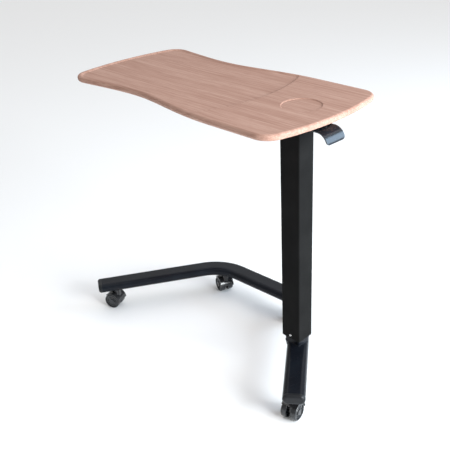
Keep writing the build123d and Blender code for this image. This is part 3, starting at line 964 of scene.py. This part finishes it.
@dataclass
class Screws:
    """The screws through the column's foot and those that hold the pan to the top.

    Args:
        glide: Head of the screws through the column's foot.
        pan: Head of the screws that hold the pan.
    """

    glide: ScrewHead = field(default_factory=lambda: ScrewHead(
        3.75 * MM, 2.4 * MM, 2.0 * MM, 4.2 * MM, 0.9 * MM, 1.3 * MM))
    pan: ScrewHead = field(default_factory=lambda: ScrewHead(
        4.5 * MM, 3.0 * MM, 2.4 * MM, 4.8 * MM, 1.0 * MM, 1.5 * MM))

    @staticmethod
    def solids(node: str) -> list[tuple[Vector, Vector]]:
        """Boxes of a node's separate solids.

        Args:
            node: The CAD node's name.

        Returns:
            The lowest and highest corner of each solid.
        """
        shape = bmesh.new()
        shape.from_mesh(frame["nodes"][node].data)
        bmesh.ops.remove_doubles(shape, verts=shape.verts, dist=MERGE_DISTANCE)
        left = set(shape.verts)
        boxes = []
        while left:
            group, waiting = set(), [left.pop()]
            while waiting:
                vertex = waiting.pop()
                group.add(vertex)
                for edge in vertex.link_edges:
                    other = edge.other_vert(vertex)
                    if other in left:
                        left.discard(other)
                        waiting.append(other)
            places = [vertex.co for vertex in group]
            boxes.append((Vector([min(place[i] for place in places) for i in range(3)]),
                          Vector([max(place[i] for place in places) for i in range(3)])))
        shape.free()
        return sorted(boxes, key=lambda box: tuple(box[0]))

    def build_set(self, node: str, body: str, slot: str, head: ScrewHead, axis: int, inward: float,
                  finishes: Finishes) -> None:
        """Build the screws that stand for one node.

        Args:
            node: The CAD node they stand for.
            body: The body they ride on.
            slot: Their material slot.
            head: Their size.
            axis: The axis they lie along.
            inward: The place along that axis that their tips point to.
            finishes: The finishes.
        """
        shape, cutter = bmesh.new(), bmesh.new()
        for low, high in self.solids(node):
            middle = (low + high) / 2
            side = 1.0 if middle[axis] > inward else -1.0
            outward = Vector([side if index == axis else 0.0 for index in range(3)])
            top = middle.copy()
            top[axis] = high[axis] if side > 0 else low[axis]
            head.add(shape, cutter, outward, top, high[axis] - low[axis])
        piece = finish_piece(node + "_fine", shape, body, slot, finishes)
        cross = bpy.data.meshes.new(node + "_cross")
        cutter.to_mesh(cross)
        cutter.free()
        tool = bpy.data.objects.new(node + "_cross", cross)
        bpy.context.scene.collection.objects.link(tool)
        cut = piece.modifiers.new("cross", "BOOLEAN")
        cut.operation = "DIFFERENCE"
        cut.solver = "EXACT"
        cut.use_self = True
        cut.object = tool
        seen = piece.evaluated_get(bpy.context.evaluated_depsgraph_get())
        mesh = bpy.data.meshes.new_from_object(seen)
        piece.modifiers.clear()
        piece.data = mesh
        bpy.data.objects.remove(tool)
        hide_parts(node)

    def build(self, finishes: Finishes) -> None:
        """Build both sets of screws.

        Args:
            finishes: The finishes.
        """
        low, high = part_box("outer_column")
        column_middle = (low.y + high.y) / 2
        top_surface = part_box("tabletop")[1].z
        self.build_set("glide_screws", "table", "bright_screw", self.glide, 1, column_middle, finishes)
        self.build_set("pan_screws", "table", "zinc_steel", self.pan, 2, top_surface, finishes)


@dataclass
class Welds:
    """Weld beads at the post's foot and at the column's head.

    Args:
        bead: Radius of a bead.
        ripple: Share by which its ripples swell.
        corner: Corner radius of the post and of the column.
        corner_steps: Steps in each corner.
        side_steps: Steps along each side.
        drop: How far above the tube the foot's weld is dropped from.
        slot_side: Share of the column's width that the head's weld covers, as the lever's slot has the rest.
    """

    bead: float = 1.5 * MM
    ripple: float = 0.12
    corner: float = 4.0 * MM
    corner_steps: int = 5
    side_steps: int = 14
    drop: float = 50.0 * MM
    slot_side: float = 0.9

    def outline(self, low: Vector, high: Vector) -> list[Vector]:
        """Walk round a rounded rectangle, corner by corner.

        Args:
            low: Its lowest corner.
            high: Its highest corner.

        Returns:
            Points on it at height 0, anticlockwise from the +X side's +Y end.
        """
        reach = self.corner
        centres = ((high.x - reach, high.y - reach), (low.x + reach, high.y - reach),
                   (low.x + reach, low.y + reach), (high.x - reach, low.y + reach))
        points = []
        for index, (x, y) in enumerate(centres):
            for step in range(self.corner_steps + 1):
                turn = (index + step / self.corner_steps) * pi / 2
                points.append(Vector((x + reach * cos(turn), y + reach * sin(turn), 0.0)))
            ahead = centres[(index + 1) % 4]
            turn = (index + 1) * pi / 2
            end = Vector((ahead[0] + reach * cos(turn), ahead[1] + reach * sin(turn), 0.0))
            start = points[-1]
            points += [start.lerp(end, step / self.side_steps) for step in range(1, self.side_steps)]
        return points

    def lay(self, name: str, points: list[Vector], route: Route, body: str, slot: str,
            finishes: Finishes) -> None:
        """Lay one bead.

        Args:
            name: Its name.
            points: The points that it follows.
            route: Whether it closes on itself.
            body: The body it rides on.
            slot: Its material slot.
            finishes: The finishes.
        """
        line = bpy.data.curves.new(name, "CURVE")
        line.dimensions = "3D"
        line.bevel_depth = self.bead
        line.bevel_resolution = 3
        line.use_fill_caps = True
        spline = line.splines.new("POLY")
        spline.points.add(len(points) - 1)
        for index, (point, place) in enumerate(zip(spline.points, points)):
            point.co = (*place, 1.0)
            point.radius = 1.0 + self.ripple * (-1) ** index
        spline.use_cyclic_u = route.value
        drawn = bpy.data.objects.new(name + "_line", line)
        bpy.context.scene.collection.objects.link(drawn)
        mesh = bpy.data.meshes.new_from_object(drawn.evaluated_get(bpy.context.evaluated_depsgraph_get()))
        bpy.data.objects.remove(drawn)
        shape = bmesh.new()
        shape.from_mesh(mesh)
        finish_piece(name, shape, body, slot, finishes)

    def build(self, finishes: Finishes) -> None:
        """Lay both beads.

        Args:
            finishes: The finishes.
        """
        tube = frame["nodes"]["base_tube"]
        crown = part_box("base_tube")[1].z
        foot = []
        for point in self.outline(*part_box("inner_post")):
            above = Vector((point.x, point.y, crown + self.drop))
            hit, place, _, _ = tube.ray_cast(above, Vector((0, 0, -1)))
            foot.append(place if hit else Vector((point.x, point.y, crown)))
        self.lay("post_foot_weld", foot, Route.CLOSED, "base", "base_paint", finishes)
        low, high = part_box("outer_column")
        head = [Vector((point.x, point.y, high.z - self.bead / 2)) for point in self.outline(low, high)]
        slot_side = low.x + (high.x - low.x) * self.slot_side
        start = next(index for index, point in enumerate(head) if point.x < slot_side)
        open_run = [point for point in head[start:] + head[:start] if point.x < slot_side]
        self.lay("column_head_weld", open_run, Route.OPEN, "table", "column_paint", finishes)


# ------------------------------------------------------------------ assembly

def main() -> None:
    """Build the studio, the finishes and every added piece, in order."""
    logging.basicConfig(level=logging.INFO, format="%(name)s: %(message)s")
    Studio().build()
    log.info("studio built")
    finishes = Finishes()
    finishes.dress_frame()
    log.info("%d frame nodes dressed", len(frame["nodes"]))
    for sub_assembly in (Welds(), Screws(), WheelFaces()):
        sub_assembly.build(finishes)


if __name__ == "__main__":
    main()
